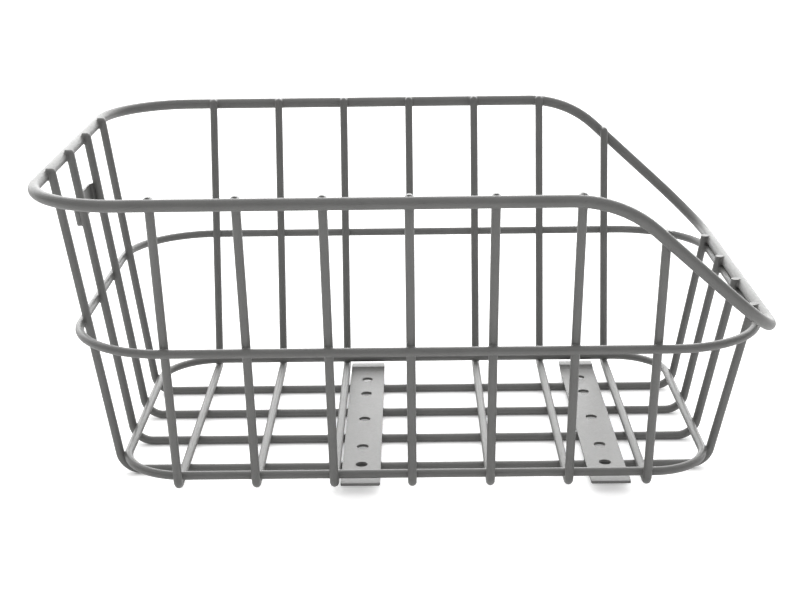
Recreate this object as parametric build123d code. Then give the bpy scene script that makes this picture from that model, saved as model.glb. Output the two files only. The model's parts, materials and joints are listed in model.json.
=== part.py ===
"""Handlebar basket: a welded wire basket with one high end and one low, sloping end.

Own frame, millimetres: X runs from the high end (-X) to the low end (+X), Y runs across,
+Z is up.  The origin is on the centre of the basket's footprint, on the resting plane
under the lengthwise floor wires.

Everything is round rod welded at its crossings, apart from two flat mounting strips and
one bent end bracket.  A rod that meets a thicker or crossing rod is seated into it by a
fraction of a millimetre, as resistance welding does, so the seat is cut out of the thinner one.
"""
import math
import os

from build123d import *

# ---- stock ----
WIRE_D = 4.5            # floor wires, uprights, middle ring and bottom ring
RIM_D = 6.0             # top rim
STRIP_T = 1.5           # mounting strips and end bracket

# ---- wire grid ----
CROSS_COUNT = 7         # U-shaped wires running across the basket
CROSS_PITCH = 40.0
CROSS_MID_X = 1.65      # the middle cross wire sits just off the footprint's centre
LONG_COUNT = 4          # U-shaped wires running lengthwise
LONG_PITCH_FLOOR = 38.3
LONG_PITCH_TOP = 43.5   # the end uprights fan out a little towards the rim

# ---- walls: distance of the upright wires' axes from the middle, at the floor ring's height ----
WALL_Z = 11.5
SIDE_Y = 91.0           # both long sides
SIDE_LEAN = 0.2101      # outward travel per unit height
HIGH_X = 153.7          # high end, on the -X side
HIGH_LEAN = 0.1427
LOW_X = 159.7           # low end, on the +X side
LOW_LEAN = 0.2

# ---- bends of the wires ----
CROSS_FLOOR_R = 5.0
LONG_FLOOR_R = 11.0
ELBOW_R = 0.0           # the ends turn outward onto the rim in a sharp pressed elbow
CROSS_PROUD = 0.5       # how far the turned ends stand above the rim's top
HIGH_PROUD = 1.1
LOW_PROUD = -0.1
STUB_SHORT = 1.6        # the turned ends stop short of the rim's axis

# ---- top rim ----
RIM_Z = 164.5
RIM_HALF_X = 180.0
RIM_HALF_Y = 127.5
RIM_LOW_Z = 91.1        # the crossbar at the low end
RIM_LOW_HALF_Y = 116.0
RIM_FOLD_X = 99.0       # where the level and the sloping lines of the rim would meet
RIM_FOLD_R = 58.0
RIM_HIGH_CORNER_R = 47.5
RIM_LOW_CORNER_R = 40.0

# ---- rings ----
MID_Z = 86.1
MID_OUTSET = 3.7        # middle ring: outside the uprights
MID_CORNER_R = 50.0
RING_Z = 11.25
RING_INSET = 4.3        # bottom ring: inside the uprights
RING_HIGH_CORNER_R = 33.0
RING_LOW_CORNER_R = 30.0

# ---- mounting strips ----
STRIP_W = 20.3
STRIP_X = (-25.2, 103.6)
STRIP_HALF_L = 89.0
STRIP_END_LIFT = 1.0    # both ends are joggled up, clear of what the basket is bolted to
STRIP_RAMP = (77.0, 82.5)
STRIP_CORNER_R = 1.0
STRIP_HOLE_D = 6.4
STRIP_HOLE_Y = (-63.0, -39.4, 0.0, 39.4, 63.0)

# ---- end bracket ----
BRACKET_Z = 134.15      # middle of the bracket
BRACKET_H = 13.1
BRACKET_OUTSET = 4.7    # sheet centre, measured outboard from the uprights' axes
BRACKET_BEND_R = 2.0

WIRE_R = WIRE_D / 2
RIM_R = RIM_D / 2
LONG_Z = WIRE_R                     # lengthwise wires are the lowest layer
CROSS_Z = LONG_Z + WIRE_D           # cross wires lie on them
STRIP_Z = LONG_Z + WIRE_R           # underside of the strips


# ---- where the walls are at a given height ----
def side_y(z):
    return SIDE_Y + SIDE_LEAN * (z - WALL_Z)


def high_x(z):
    return -(HIGH_X + HIGH_LEAN * (z - WALL_Z))


def low_x(z):
    return LOW_X + LOW_LEAN * (z - WALL_Z)


def upright_pitch(z, top_z):
    part = (z - LONG_Z) / (top_z - LONG_Z)
    return LONG_PITCH_FLOOR + (LONG_PITCH_TOP - LONG_PITCH_FLOOR) * part


# ---- bent rod ----
def straight(a, b, radius):
    """Cylinder from a to b."""
    return extrude(Plane(origin=a, z_dir=b - a) * Circle(radius), (b - a).length)


def bend(before, corner, after, bend_r, radius):
    """Where the rod's axis enters and leaves a rounded corner, and the bent piece between.

    A bend radius of 0 is a pressed elbow, round on its outside.
    """
    back = (before - corner).normalized()
    ahead = (after - corner).normalized()
    half = math.radians(back.get_angle(ahead)) / 2
    run = bend_r / math.tan(half)
    enter = corner + back * run
    leave = corner + ahead * run
    if bend_r == 0:
        return enter, leave, Pos(corner) * Sphere(radius)
    centre = corner + (back + ahead).normalized() * (bend_r / math.sin(half))
    hinge = Axis(centre, back.cross(ahead) * -1)
    section = Plane(origin=enter, z_dir=back * -1) * Circle(radius)
    return enter, leave, revolve(section, hinge, 180 - 2 * math.degrees(half))


def rod(points, bend_radii, diameter, closed=False):
    """Round rod along straight runs, with a given bend radius at each corner."""
    points = [Vector(*p) for p in points]
    if closed:
        seam = (points[-1] + points[0]) * 0.5
        chain = [seam] + points + [seam]
    else:
        chain = points
    runs = []
    here = chain[0]
    for before, corner, after, bend_r in zip(chain, chain[1:], chain[2:], bend_radii):
        enter, leave, piece = bend(before, corner, after, bend_r, diameter / 2)
        runs += [straight(here, enter, diameter / 2), piece]
        here = leave
    runs.append(straight(here, chain[-1], diameter / 2))
    return runs[0] + runs[1:]


def ring(z, high, low, half_y, high_r, low_r):
    """Level closed ring of wire with rounded corners."""
    corners = [(high, half_y, z), (low, half_y, z), (low, -half_y, z), (high, -half_y, z)]
    return rod(corners, [high_r, low_r, low_r, high_r], WIRE_D, closed=True)


# ---- top rim ----
def make_rim():
    corners = [
        (-RIM_HALF_X, RIM_HALF_Y, RIM_Z),
        (RIM_FOLD_X, RIM_HALF_Y, RIM_Z),
        (RIM_HALF_X, RIM_LOW_HALF_Y, RIM_LOW_Z),
        (RIM_HALF_X, -RIM_LOW_HALF_Y, RIM_LOW_Z),
        (RIM_FOLD_X, -RIM_HALF_Y, RIM_Z),
        (-RIM_HALF_X, -RIM_HALF_Y, RIM_Z),
    ]
    radii = [RIM_HIGH_CORNER_R, RIM_FOLD_R, RIM_LOW_CORNER_R]
    return rod(corners, radii + radii[::-1], RIM_D, closed=True)


def rim_axis_at(x):
    """Half width, height and slope angle of the rim's axis where it passes over x."""
    fold = Vector(RIM_FOLD_X, RIM_HALF_Y, RIM_Z)
    leg = (Vector(RIM_HALF_X, RIM_LOW_HALF_Y, RIM_LOW_Z) - fold).normalized()
    turn = math.acos(leg.X)
    run = RIM_FOLD_R * math.tan(turn / 2)
    if x <= RIM_FOLD_X - run:
        return RIM_HALF_Y, RIM_Z, 0.0
    if x >= RIM_FOLD_X + run * leg.X:
        on_leg = fold + leg * ((x - RIM_FOLD_X) / leg.X)
        return on_leg.Y, on_leg.Z, math.asin(-leg.Z)
    swing = math.asin((x - RIM_FOLD_X + run) / RIM_FOLD_R)
    inward = (leg - Vector(1, 0, 0) * leg.X).normalized()
    sag = inward * (RIM_FOLD_R * (1 - math.cos(swing)))
    return RIM_HALF_Y + sag.Y, RIM_Z + sag.Z, swing


# ---- U-shaped wires ----
def stub_z(rim_z, proud, slope=0.0):
    """Height of a turned end's axis where it lies against the rim."""
    return rim_z + RIM_R / math.cos(slope) - WIRE_R + proud


def make_cross_wire(x):
    rim_y, rim_z, slope = rim_axis_at(x)
    top = stub_z(rim_z, CROSS_PROUD, slope)
    end_y = rim_y - STUB_SHORT
    points = [
        (x, -end_y, top),
        (x, -side_y(top), top),
        (x, -side_y(CROSS_Z), CROSS_Z),
        (x, side_y(CROSS_Z), CROSS_Z),
        (x, side_y(top), top),
        (x, end_y, top),
    ]
    return rod(points, [ELBOW_R, CROSS_FLOOR_R, CROSS_FLOOR_R, ELBOW_R], WIRE_D)


def make_long_wire(step):
    """step counts wire pitches from the basket's middle line."""
    high_top = stub_z(RIM_Z, HIGH_PROUD)
    low_top = stub_z(RIM_LOW_Z, LOW_PROUD)
    floor_y = step * LONG_PITCH_FLOOR
    top_y = step * LONG_PITCH_TOP
    points = [
        (STUB_SHORT - RIM_HALF_X, top_y, high_top),
        (high_x(high_top), top_y, high_top),
        (high_x(LONG_Z), floor_y, LONG_Z),
        (low_x(LONG_Z), floor_y, LONG_Z),
        (low_x(low_top), top_y, low_top),
        (RIM_HALF_X - STUB_SHORT, top_y, low_top),
    ]
    wire = rod(points, [ELBOW_R, LONG_FLOOR_R, LONG_FLOOR_R, ELBOW_R], WIRE_D)
    # the low end's elbows are pressed square, with a level top
    corner = Vector(*points[4])
    up = (corner - Vector(*points[3])).normalized()
    square = straight(corner - up * WIRE_D, corner + up * WIRE_D, WIRE_R)
    square -= Pos(corner.X, corner.Y, corner.Z + WIRE_R - 0.05 + WIRE_D) * Box(
        4 * WIRE_D, 4 * WIRE_D, 2 * WIRE_D
    )
    return wire + square


# ---- mounting strips ----
def make_strip(x):
    """Flat strip with joggled ends and a row of clearance holes."""
    z = STRIP_Z
    lift = STRIP_END_LIFT
    ramp_in, ramp_out = STRIP_RAMP
    profile = Plane.YZ * Polyline(
        (-STRIP_HALF_L, z + lift),
        (-ramp_out, z + lift),
        (-ramp_in, z),
        (ramp_in, z),
        (ramp_out, z + lift),
        (STRIP_HALF_L, z + lift),
        (STRIP_HALF_L, z + lift + STRIP_T),
        (ramp_out, z + lift + STRIP_T),
        (ramp_in, z + STRIP_T),
        (-ramp_in, z + STRIP_T),
        (-ramp_out, z + lift + STRIP_T),
        (-STRIP_HALF_L, z + lift + STRIP_T),
        close=True,
    )
    bar = extrude(make_face(profile), STRIP_W / 2, both=True)
    ends = [e for e in bar.edges().filter_by(Axis.Z) if abs(e.center().Y) > STRIP_HALF_L - 1]
    bar = fillet(ends, STRIP_CORNER_R)
    hole = Cylinder(STRIP_HOLE_D / 2, 3 * STRIP_T)
    bar -= [Pos(0, y, z + STRIP_T / 2) * hole for y in STRIP_HOLE_Y]
    return Pos(x, 0, 0) * bar


# ---- end bracket ----
def make_bracket():
    """Strip bent to a shallow U, its ends standing on the two middle uprights."""
    y = upright_pitch(BRACKET_Z, RIM_Z) / 2
    foot = WIRE_R - 0.75
    lean = math.degrees(math.atan(HIGH_LEAN))
    path = FilletPolyline(
        (foot, -y), (BRACKET_OUTSET, -y), (BRACKET_OUTSET, y), (foot, y), radius=BRACKET_BEND_R
    )
    strip = trace(path, STRIP_T)
    block = extrude(strip, BRACKET_H / 2, both=True)
    return Pos(high_x(BRACKET_Z), 0, BRACKET_Z) * Rot(Y=-lean) * Rot(Z=180) * block


# ---- build every piece, then seat the thinner ones at their welds ----
rim = make_rim()
mid_ring = ring(
    MID_Z,
    high_x(MID_Z) - MID_OUTSET,
    low_x(MID_Z) + MID_OUTSET,
    side_y(MID_Z) + MID_OUTSET,
    MID_CORNER_R,
    MID_CORNER_R,
)
bottom_ring = ring(
    RING_Z,
    high_x(RING_Z) + RING_INSET,
    low_x(RING_Z) - RING_INSET,
    side_y(RING_Z) - RING_INSET,
    RING_HIGH_CORNER_R,
    RING_LOW_CORNER_R,
)

pieces = {"top_rim": rim, "middle_ring": mid_ring, "bottom_ring": bottom_ring}

for i in range(CROSS_COUNT):
    x = CROSS_MID_X + (i - (CROSS_COUNT - 1) / 2) * CROSS_PITCH
    wire = make_cross_wire(x) - rim - mid_ring - bottom_ring
    pieces[f"cross_wire_{i + 1}"] = wire

for i in range(LONG_COUNT):
    wire = make_long_wire(i - (LONG_COUNT - 1) / 2) - rim - mid_ring - bottom_ring
    pieces[f"long_wire_{i + 1}"] = wire

for name, x in zip(("mounting_strip_left", "mounting_strip_right"), STRIP_X):
    pieces[name] = make_strip(x)

pieces["end_bracket"] = make_bracket() - pieces["long_wire_2"] - pieces["long_wire_3"]

os.makedirs("parts", exist_ok=True)
for name, shape in pieces.items():
    solids = shape.solids()
    print(f"{name}: {len(solids)} solid, {shape.volume:.1f} mm3, valid {solids[0].is_valid}")
    export_step(solids[0], f"parts/{name}.step")
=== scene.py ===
"""Looks of the welded wire basket: powder coat, weld beads, studio light and camera.

Every length is in metres, in the CAD frame: X from the high end to the low sloping end,
Y across the basket, Z up from the resting plane.
"""

import json
import math

import bmesh
import bpy
from mathutils import Matrix, Vector, noise
from mathutils.bvhtree import BVHTree


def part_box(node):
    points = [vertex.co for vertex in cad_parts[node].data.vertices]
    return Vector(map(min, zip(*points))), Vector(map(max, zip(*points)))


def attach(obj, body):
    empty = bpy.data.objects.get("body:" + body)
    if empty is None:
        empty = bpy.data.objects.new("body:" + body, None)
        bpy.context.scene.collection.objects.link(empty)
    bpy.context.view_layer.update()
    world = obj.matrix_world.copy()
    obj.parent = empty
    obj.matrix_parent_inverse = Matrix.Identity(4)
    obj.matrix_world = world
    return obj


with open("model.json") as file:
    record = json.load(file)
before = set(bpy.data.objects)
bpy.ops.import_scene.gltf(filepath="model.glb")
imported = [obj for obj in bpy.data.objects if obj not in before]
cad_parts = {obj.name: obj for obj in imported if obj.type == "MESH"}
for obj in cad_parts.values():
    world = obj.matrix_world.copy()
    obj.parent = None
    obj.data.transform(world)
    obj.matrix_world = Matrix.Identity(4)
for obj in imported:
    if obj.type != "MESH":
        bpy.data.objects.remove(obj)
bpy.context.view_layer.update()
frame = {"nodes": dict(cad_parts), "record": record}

# ---- camera ----
CAMERA_AT = Vector((0.00269, -0.79677, 0.33386))
CAMERA_YAW = math.radians(-0.498)       # turn to the right of straight ahead
CAMERA_PITCH = math.radians(17.875)     # looking down
CAMERA_ROLL = math.radians(-0.770)
CAMERA_LENS = 67.887                    # millimetres, as the sensor's width
SENSOR_WIDTH = 36.0


def make_camera():
    data = bpy.data.cameras.new("studio_camera")
    data.sensor_fit = "HORIZONTAL"
    data.sensor_width = SENSOR_WIDTH
    data.lens = CAMERA_LENS
    data.clip_start = 0.05
    data.clip_end = 60.0
    camera = bpy.data.objects.new("studio_camera", data)
    turn = (
        Matrix.Rotation(-CAMERA_YAW, 3, "Z")
        @ Matrix.Rotation(math.pi / 2 - CAMERA_PITCH, 3, "X")
        @ Matrix.Rotation(CAMERA_ROLL, 3, "Z")
    )
    camera.matrix_world = Matrix.Translation(CAMERA_AT) @ turn.to_4x4()
    bpy.context.scene.collection.objects.link(camera)
    bpy.context.scene.camera = camera


# ---- node trees ----
class Nodes:
    """Short way to add and link the nodes of one tree."""

    def __init__(self, tree):
        self.tree = tree
        tree.nodes.clear()

    def add(self, kind, inputs=(), **settings):
        node = self.tree.nodes.new(kind)
        for name, value in settings.items():
            setattr(node, name, value)
        for name, value in dict(inputs).items():
            if isinstance(value, bpy.types.NodeSocket):
                self.tree.links.new(value, node.inputs[name])
            else:
                node.inputs[name].default_value = value
        return node

    def math(self, operation, first, second):
        node = self.add("ShaderNodeMath", {0: first, 1: second}, operation=operation)
        return node.outputs["Value"]

    def ramp(self, value, source, target, **settings):
        """The value taken from the source range to the target range, and held at its ends."""
        limits = {
            "Value": value,
            "From Min": source[0],
            "From Max": source[1],
            "To Min": target[0],
            "To Max": target[1],
        }
        return self.add("ShaderNodeMapRange", limits, **settings).outputs["Result"]


# ---- powder coat ----
COAT_GREY = (0.137, 0.137, 0.1325)      # linear
COAT_ROUGHNESS = (0.37, 0.47)
COAT_IOR = 1.5
NOISE_MIDDLE = (0.3, 0.7)               # where nearly all of a noise texture's values lie

MOTTLE_SCALE = 55.0                     # scales are features per metre
MOTTLE_SHADE = (0.94, 1.06)
SPECK_SCALE = 1400.0
SPECK_PEAKS = (0.66, 0.74)
SPECK_SHADE = (1.0, 0.86)
PEEL_SCALE = 900.0                      # orange peel
PEEL_RELIEF = 0.00008
PEEL_STRENGTH = 0.45
GRAIN_SCALE = 3800.0
GRAIN_RELIEF = 0.00002
GRAIN_STRENGTH = 0.25


def powder_coat(name):
    """Satin powder coat: fine orange peel, faint mottling and a few specks in the film."""
    material = bpy.data.materials.new(name)
    material.use_nodes = True
    n = Nodes(material.node_tree)
    place = n.add("ShaderNodeTexCoord").outputs["Object"]

    mottle = n.add(
        "ShaderNodeTexNoise",
        {"Vector": place, "Scale": MOTTLE_SCALE, "Detail": 3.0, "Roughness": 0.6},
    )
    specks = n.add("ShaderNodeTexNoise", {"Vector": place, "Scale": SPECK_SCALE, "Detail": 1.0})
    shade = n.math(
        "MULTIPLY",
        n.ramp(mottle.outputs["Fac"], NOISE_MIDDLE, MOTTLE_SHADE),
        n.ramp(specks.outputs["Fac"], SPECK_PEAKS, SPECK_SHADE),
    )
    colour = n.add("ShaderNodeVectorMath", {0: COAT_GREY, "Scale": shade}, operation="SCALE")

    peel = n.add("ShaderNodeTexNoise", {"Vector": place, "Scale": PEEL_SCALE, "Detail": 2.0})
    grain = n.add("ShaderNodeTexNoise", {"Vector": place, "Scale": GRAIN_SCALE, "Detail": 1.0})
    roughness = n.ramp(peel.outputs["Fac"], NOISE_MIDDLE, COAT_ROUGHNESS)
    fine = n.add(
        "ShaderNodeBump",
        {"Height": grain.outputs["Fac"], "Strength": GRAIN_STRENGTH, "Distance": GRAIN_RELIEF},
    )
    relief = n.add(
        "ShaderNodeBump",
        {"Height": peel.outputs["Fac"], "Strength": PEEL_STRENGTH, "Distance": PEEL_RELIEF,
         "Normal": fine.outputs["Normal"]},
    )
    coat = n.add(
        "ShaderNodeBsdfPrincipled",
        {"Base Color": colour.outputs["Vector"], "Roughness": roughness,
         "Normal": relief.outputs["Normal"], "IOR": COAT_IOR},
    )
    n.add("ShaderNodeOutputMaterial", {"Surface": coat.outputs["BSDF"]})
    return material


coats = {}                              # material slot: its finish


def coat_cad_nodes():
    for name, node in frame["nodes"].items():
        slot = next(s["material_slot"] for s in frame["record"]["subparts"] if s["node"] == name)
        if slot not in coats:
            coats[slot] = powder_coat(slot + "_finish")
        node.material_slots[0].link = "OBJECT"
        node.material_slots[0].material = coats[slot]


# ---- welds ----
ROWS = 15                               # rings of a bead, from pole to pole
COLUMNS = 56
LAST_ROW = math.radians(62)             # latitude of a bead's first and last ring
SINK = 0.00005                          # how far a bead lies under the rods that it leaves
RIPPLE = 0.00009                        # unevenness of a bead's surface
RIPPLE_SCALE = 900.0
SEAT_TOLERANCE = 0.00003                # points this near another node's surface touch it
TRACE_STEPS = 12
CLOSE_ENOUGH = 0.000003
NEARLY_NEAREST = 1.0001                 # as far as this many times the nearest distance
TACK_INSET = 0.0006                     # a tack's centre, in from the flat part's edge
TACK_BAND = 0.001                       # height of the stretch taken as a foot's end

# (width of the fillet, farthest that a bead goes from its centre)
RIM_BEAD = (0.0012, 0.0038)
RING_BEAD = (0.0012, 0.0036)
FLOOR_BEAD = (0.0013, 0.0034)
STRIP_TACK = (0.0012, 0.0034)
BRACKET_TACK = (0.0011, 0.0026)

WIRES = sorted(n for n in frame["nodes"] if "_wire_" in n)
LONG_WIRES = [n for n in WIRES if n.startswith("long")]
CROSS_WIRES = [n for n in WIRES if n.startswith("cross")]
STRIPS = sorted(n for n in frame["nodes"] if n.startswith("mounting_strip"))
WIRE_R = (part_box(CROSS_WIRES[0])[1].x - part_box(CROSS_WIRES[0])[0].x) / 2
UP = Vector((0.0, 0.0, 1.0))
INBOARD = Vector((1.0, 0.0, 0.0))       # at the high end, where the bracket is

surfaces = {}                           # CAD node: search tree over its faces
corners = {}                            # CAD node: its mesh's points


def surface(node):
    """Search tree over a CAD node's faces, made when it is first asked for."""
    if node not in surfaces:
        mesh = frame["nodes"][node].data
        points = [v.co for v in mesh.vertices]
        faces = [list(p.vertices) for p in mesh.polygons]
        surfaces[node] = BVHTree.FromPolygons(points, faces)
        corners[node] = points
    return surfaces[node]


def height_above(node, point):
    """Signed distance from a CAD node's surface, negative inside it."""
    tree = surface(node)
    nearest, normal, _, distance = tree.find_nearest(point)
    if (point - nearest).dot(normal) > 0:
        return distance
    # beside a sharp edge the nearest face may look away, though its neighbour looks this way
    reach = distance * NEARLY_NEAREST + 1e-7
    for nearest, normal, _, _ in tree.find_nearest_range(point, reach):
        if (point - nearest).dot(normal) > 0:
            return distance
    return -distance


def blended(a, b, fillet):
    """Smooth minimum of two distances: it rounds the valley between two surfaces."""
    overlap = max(fillet - abs(a - b), 0.0) / fillet
    return min(a, b) - overlap * overlap * fillet / 4


def bead_directions(pole):
    """Directions over a sphere, closest together round its equator."""
    east = pole.orthogonal().normalized()
    north = pole.cross(east)
    rows = []
    for i in range(ROWS):
        t = 2 * (i + 0.5) / ROWS - 1
        latitude = LAST_ROW * t * (0.55 + 0.45 * t * t)
        ring = []
        for j in range(COLUMNS):
            turn = 2 * math.pi * (j + 0.5 * (i % 2)) / COLUMNS
            flat = east * math.cos(turn) + north * math.sin(turn)
            ring.append(flat * math.cos(latitude) + pole * math.sin(latitude))
        rows.append(ring)
    return rows


def bead_reach(nodes, centre, direction, fillet, limit):
    """How far the bead goes from its centre before it leaves the blended surface."""
    reach = 0.0
    for _ in range(TRACE_STEPS):
        point = centre + direction * reach
        ripple = noise.noise(point * RIPPLE_SCALE) * RIPPLE
        depth = blended(
            height_above(nodes[0], point), height_above(nodes[1], point), fillet
        )
        step = -(depth + SINK + ripple)
        reach += step
        if reach >= limit:
            return limit
        if abs(step) < CLOSE_ENOUGH:
            break
    return reach


def add_bead(bm, nodes, centre, pole, fillet, limit):
    """Closed bead that fills the crevice between two nodes round their contact."""
    rings = []
    for directions in bead_directions(pole):
        ring = []
        for direction in directions:
            reach = bead_reach(nodes, centre, direction, fillet, limit)
            ring.append(bm.verts.new(centre + direction * reach))
        rings.append(ring)
    for low, high in zip(rings, rings[1:]):
        for j in range(COLUMNS):
            k = (j + 1) % COLUMNS
            bm.faces.new((low[j], low[k], high[k], high[j]))
    bm.faces.new(rings[0][::-1])
    bm.faces.new(rings[-1])


def make_welds(name, slot, beads):
    """One piece holding the beads of one kind of joint."""
    bm = bmesh.new()
    for bead in beads:
        add_bead(bm, *bead)
    bmesh.ops.triangulate(bm, faces=[f for f in bm.faces if len(f.verts) > 4])
    bmesh.ops.recalc_face_normals(bm, faces=bm.faces)
    mesh = bpy.data.meshes.new(name)
    bm.to_mesh(mesh)
    bm.free()
    mesh.shade_smooth()
    mesh.materials.append(coats[slot])
    piece = bpy.data.objects.new(name, mesh)
    bpy.context.scene.collection.objects.link(piece)
    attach(piece, "root")


def seats(wire, other):
    """Where a wire is seated against another node: (centre, outward direction), one per side."""
    surface(wire)
    along = Vector((0.0, 1.0, 0.0)) if wire in CROSS_WIRES else Vector((1.0, 0.0, 0.0))
    found = []
    for side in (along, -along):
        touching = [
            p for p in corners[wire]
            if p.dot(side) > 0 and abs(height_above(other, p)) < SEAT_TOLERANCE
        ]
        if touching:
            low = Vector(map(min, zip(*touching)))
            high = Vector(map(max, zip(*touching)))
            found.append(((low + high) / 2, side))
    return found


def seat_beads(other, fillet, limit):
    beads = []
    for wire in WIRES:
        for centre, side in seats(wire, other):
            beads.append(((wire, other), centre, side, fillet, limit))
    return beads


def floor_height_y(wire):
    """Where a lengthwise wire runs across the floor."""
    surface(wire)
    low = [p.y for p in corners[wire] if p.z < WIRE_R]
    return (min(low) + max(low)) / 2


def floor_beads(fillet, limit):
    beads = []
    for cross in CROSS_WIRES:
        low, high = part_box(cross)
        for long in LONG_WIRES:
            centre = Vector(((low.x + high.x) / 2, floor_height_y(long), 2 * WIRE_R))
            beads.append(((cross, long), centre, UP, fillet, limit))
    return beads


def strip_beads(fillet, limit):
    """Small tacks where each lengthwise wire comes out from under a strip's edge."""
    beads = []
    for strip in STRIPS:
        low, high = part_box(strip)
        for edge in (low.x + TACK_INSET, high.x - TACK_INSET):
            for long in LONG_WIRES:
                centre = Vector((edge, floor_height_y(long), 2 * WIRE_R))
                beads.append(((strip, long), centre, UP, fillet, limit))
    return beads


def bracket_beads(fillet, limit):
    """Tacks at the top and the bottom of each of the bracket's two feet."""
    surface("end_bracket")
    beads = []
    for wire in LONG_WIRES:
        touching = [
            p for p in corners["end_bracket"] if abs(height_above(wire, p)) < SEAT_TOLERANCE
        ]
        if not touching:
            continue
        low = min(p.z for p in touching)
        high = max(p.z for p in touching)
        for z in (low, high):
            end = [p for p in touching if abs(p.z - z) < TACK_BAND]
            centre = sum(end, Vector()) / len(end)
            centre.z += math.copysign(TACK_INSET, (low + high) / 2 - z)
            beads.append((("end_bracket", wire), centre, INBOARD, fillet, limit))
    return beads


def make_all_welds():
    make_welds("rim_welds", "rim_coat", seat_beads("top_rim", *RIM_BEAD))
    make_welds("middle_ring_welds", "ring_coat", seat_beads("middle_ring", *RING_BEAD))
    make_welds("bottom_ring_welds", "ring_coat", seat_beads("bottom_ring", *RING_BEAD))
    make_welds("floor_welds", "long_wire_coat", floor_beads(*FLOOR_BEAD))
    make_welds("strip_welds", "strip_coat", strip_beads(*STRIP_TACK))
    make_welds("bracket_welds", "bracket_coat", bracket_beads(*BRACKET_TACK))


# ---- edges and faces of the CAD meshes ----
SEAM_GAP = 0.000002                     # points closer than this are one point
COAT_EDGE = 0.00016                     # width of the coat's rounding at a sheared edge
SHARP = math.radians(40)                # edges that turn more than this are rounded
NO_AREA = 1e-12                         # square metres


def soften_edges():
    """The coat rounds the sheared edges of the flat parts."""
    for name in STRIPS + ["end_bracket"]:
        node = frame["nodes"][name]
        join = node.modifiers.new("join_seams", "WELD")
        join.merge_threshold = SEAM_GAP
        round_off = node.modifiers.new("coat_edge", "BEVEL")
        round_off.width = COAT_EDGE
        round_off.segments = 2
        round_off.limit_method = "ANGLE"
        round_off.angle_limit = SHARP
        round_off.harden_normals = False


def drop_flat_faces():
    """Leaves out the faces of no area at the poles of the wires' ball elbows."""
    tree = bpy.data.node_groups.new("drop_flat_faces", "GeometryNodeTree")
    for way in ("INPUT", "OUTPUT"):
        tree.interface.new_socket("Geometry", in_out=way, socket_type="NodeSocketGeometry")
    n = Nodes(tree)
    mesh = n.add("NodeGroupInput").outputs["Geometry"]
    area = n.add("GeometryNodeInputMeshFaceArea").outputs["Area"]
    flat = n.add("FunctionNodeCompare", {0: area, 1: NO_AREA}, operation="LESS_THAN")
    rest = n.add(
        "GeometryNodeDeleteGeometry",
        {"Geometry": mesh, "Selection": flat.outputs["Result"]},
        domain="FACE",
    )
    n.add("NodeGroupOutput", {"Geometry": rest.outputs["Geometry"]})
    for name in WIRES:
        frame["nodes"][name].modifiers.new("drop_flat_faces", "NODES").node_group = tree


# ---- studio ----
WHITE = (1.0, 1.0, 1.0, 1.0)
TENT_DEPTH = (0.30, 0.95)               # how far behind the basket a direction points
TENT_DEPTH_LIGHT = (0.28, 4.3)
TENT_HEIGHT = (0.1, 1.0)
TENT_HEIGHT_LIGHT = (0.0, 0.85)
FLOOR_HALF = 3.0
FLOOR_PAPER = (0.88, 0.88, 0.88, 1.0)
FLOOR_LIT = (-0.6, -0.2)                # Y where the floor's glow begins, and where it is full
FLOOR_GLOW = 0.1
FLOOR_PAINTED_WHITE = 0.4                   # painted whitening of the floor, seen by the camera only, so it lights nothing
PAINTED_CONTACT_SHADOW = 0.005                  # how far from the basket the painted whitening holds back, leaving a painted contact shadow there


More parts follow.
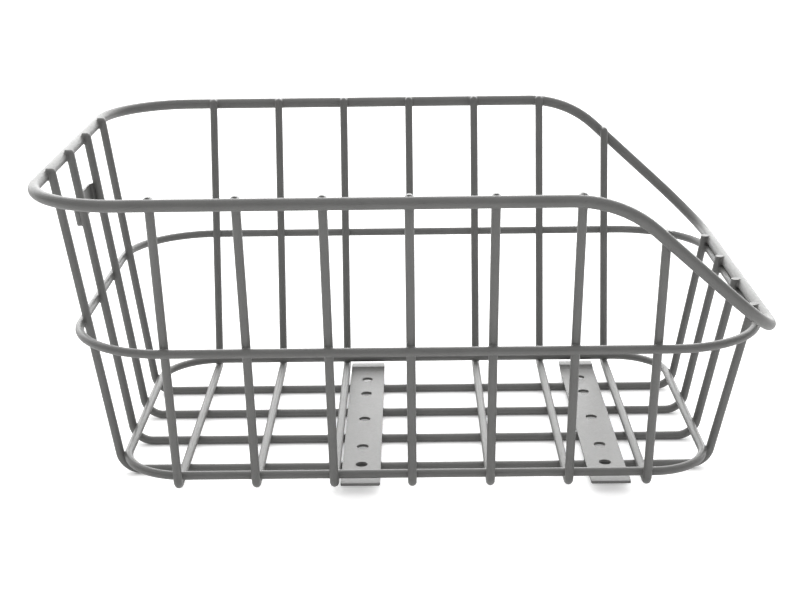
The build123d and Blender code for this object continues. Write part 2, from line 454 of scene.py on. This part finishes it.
def make_world():
    """White tent: brightest behind and above the basket, dimmer on the near side."""
    world = bpy.data.worlds.new("white_tent")
    bpy.context.scene.world = world
    world.use_nodes = True
    n = Nodes(world.node_tree)
    away = n.add("ShaderNodeTexCoord").outputs["Generated"]
    split = n.add("ShaderNodeSeparateXYZ", {"Vector": away})
    depth = n.ramp(
        split.outputs["Y"], TENT_DEPTH, TENT_DEPTH_LIGHT, interpolation_type="SMOOTHSTEP"
    )
    height = n.ramp(
        split.outputs["Z"], TENT_HEIGHT, TENT_HEIGHT_LIGHT, interpolation_type="SMOOTHSTEP"
    )
    strength = n.math("ADD", depth, height)
    tent = n.add("ShaderNodeBackground", {"Color": WHITE, "Strength": strength})
    seen = n.add("ShaderNodeBackground", {"Color": WHITE, "Strength": 1.0})
    path = n.add("ShaderNodeLightPath")
    mix = n.add(
        "ShaderNodeMixShader",
        {0: path.outputs["Is Camera Ray"], 1: tent.outputs["Background"],
         2: seen.outputs["Background"]},
    )
    n.add("ShaderNodeOutputWorld", {"Surface": mix.outputs["Shader"]})


def make_floor():
    """Pale floor that glows faintly behind the basket and is painted nearly white for the
    camera. Where the basket touches it there is a faint shadow, partly the floor's own shading
    and partly painted shade where occlusion holds the whitening back.
    """
    half = FLOOR_HALF
    mesh = bpy.data.meshes.new("studio_floor")
    mesh.from_pydata(
        [(-half, -half, 0.0), (half, -half, 0.0), (half, half, 0.0), (-half, half, 0.0)],
        [],
        [(0, 1, 2, 3)],
    )
    floor = bpy.data.objects.new("studio_floor", mesh)
    bpy.context.scene.collection.objects.link(floor)
    material = bpy.data.materials.new("pale_floor")
    material.use_nodes = True
    n = Nodes(material.node_tree)
    place = n.add("ShaderNodeTexCoord").outputs["Object"]
    split = n.add("ShaderNodeSeparateXYZ", {"Vector": place})
    lit = n.ramp(split.outputs["Y"], FLOOR_LIT, (0.0, 1.0), interpolation_type="SMOOTHSTEP")
    # painted contact shadow: ambient occlusion holds the camera-only whitening back near the
    # basket
    painted_shadow_openness = n.add("ShaderNodeAmbientOcclusion", {"Distance": PAINTED_CONTACT_SHADOW}).outputs["AO"]
    painted_white_amount = n.math("MULTIPLY", n.math("POWER", painted_shadow_openness, 2.0), lit)
    camera_painted_white = n.math("MULTIPLY", painted_white_amount, n.add("ShaderNodeLightPath").outputs["Is Camera Ray"])
    # emission: the faint glow behind the basket plus the painted whitening
    glow = n.math(
        "ADD",
        n.math("MULTIPLY", lit, FLOOR_GLOW),
        n.math("MULTIPLY", camera_painted_white, FLOOR_PAINTED_WHITE),
    )
    paper = n.add(
        "ShaderNodeBsdfPrincipled",
        {"Base Color": FLOOR_PAPER, "Roughness": 0.9,
         "Emission Color": WHITE, "Emission Strength": glow},
    )
    n.add("ShaderNodeOutputMaterial", {"Surface": paper.outputs["BSDF"]})
    mesh.materials.append(material)


def make_view():
    scene = bpy.context.scene
    scene.view_settings.view_transform = "Standard"
    scene.view_settings.look = "None"


make_view()
make_camera()
make_world()
make_floor()
coat_cad_nodes()
make_all_welds()
soften_edges()
drop_flat_faces()
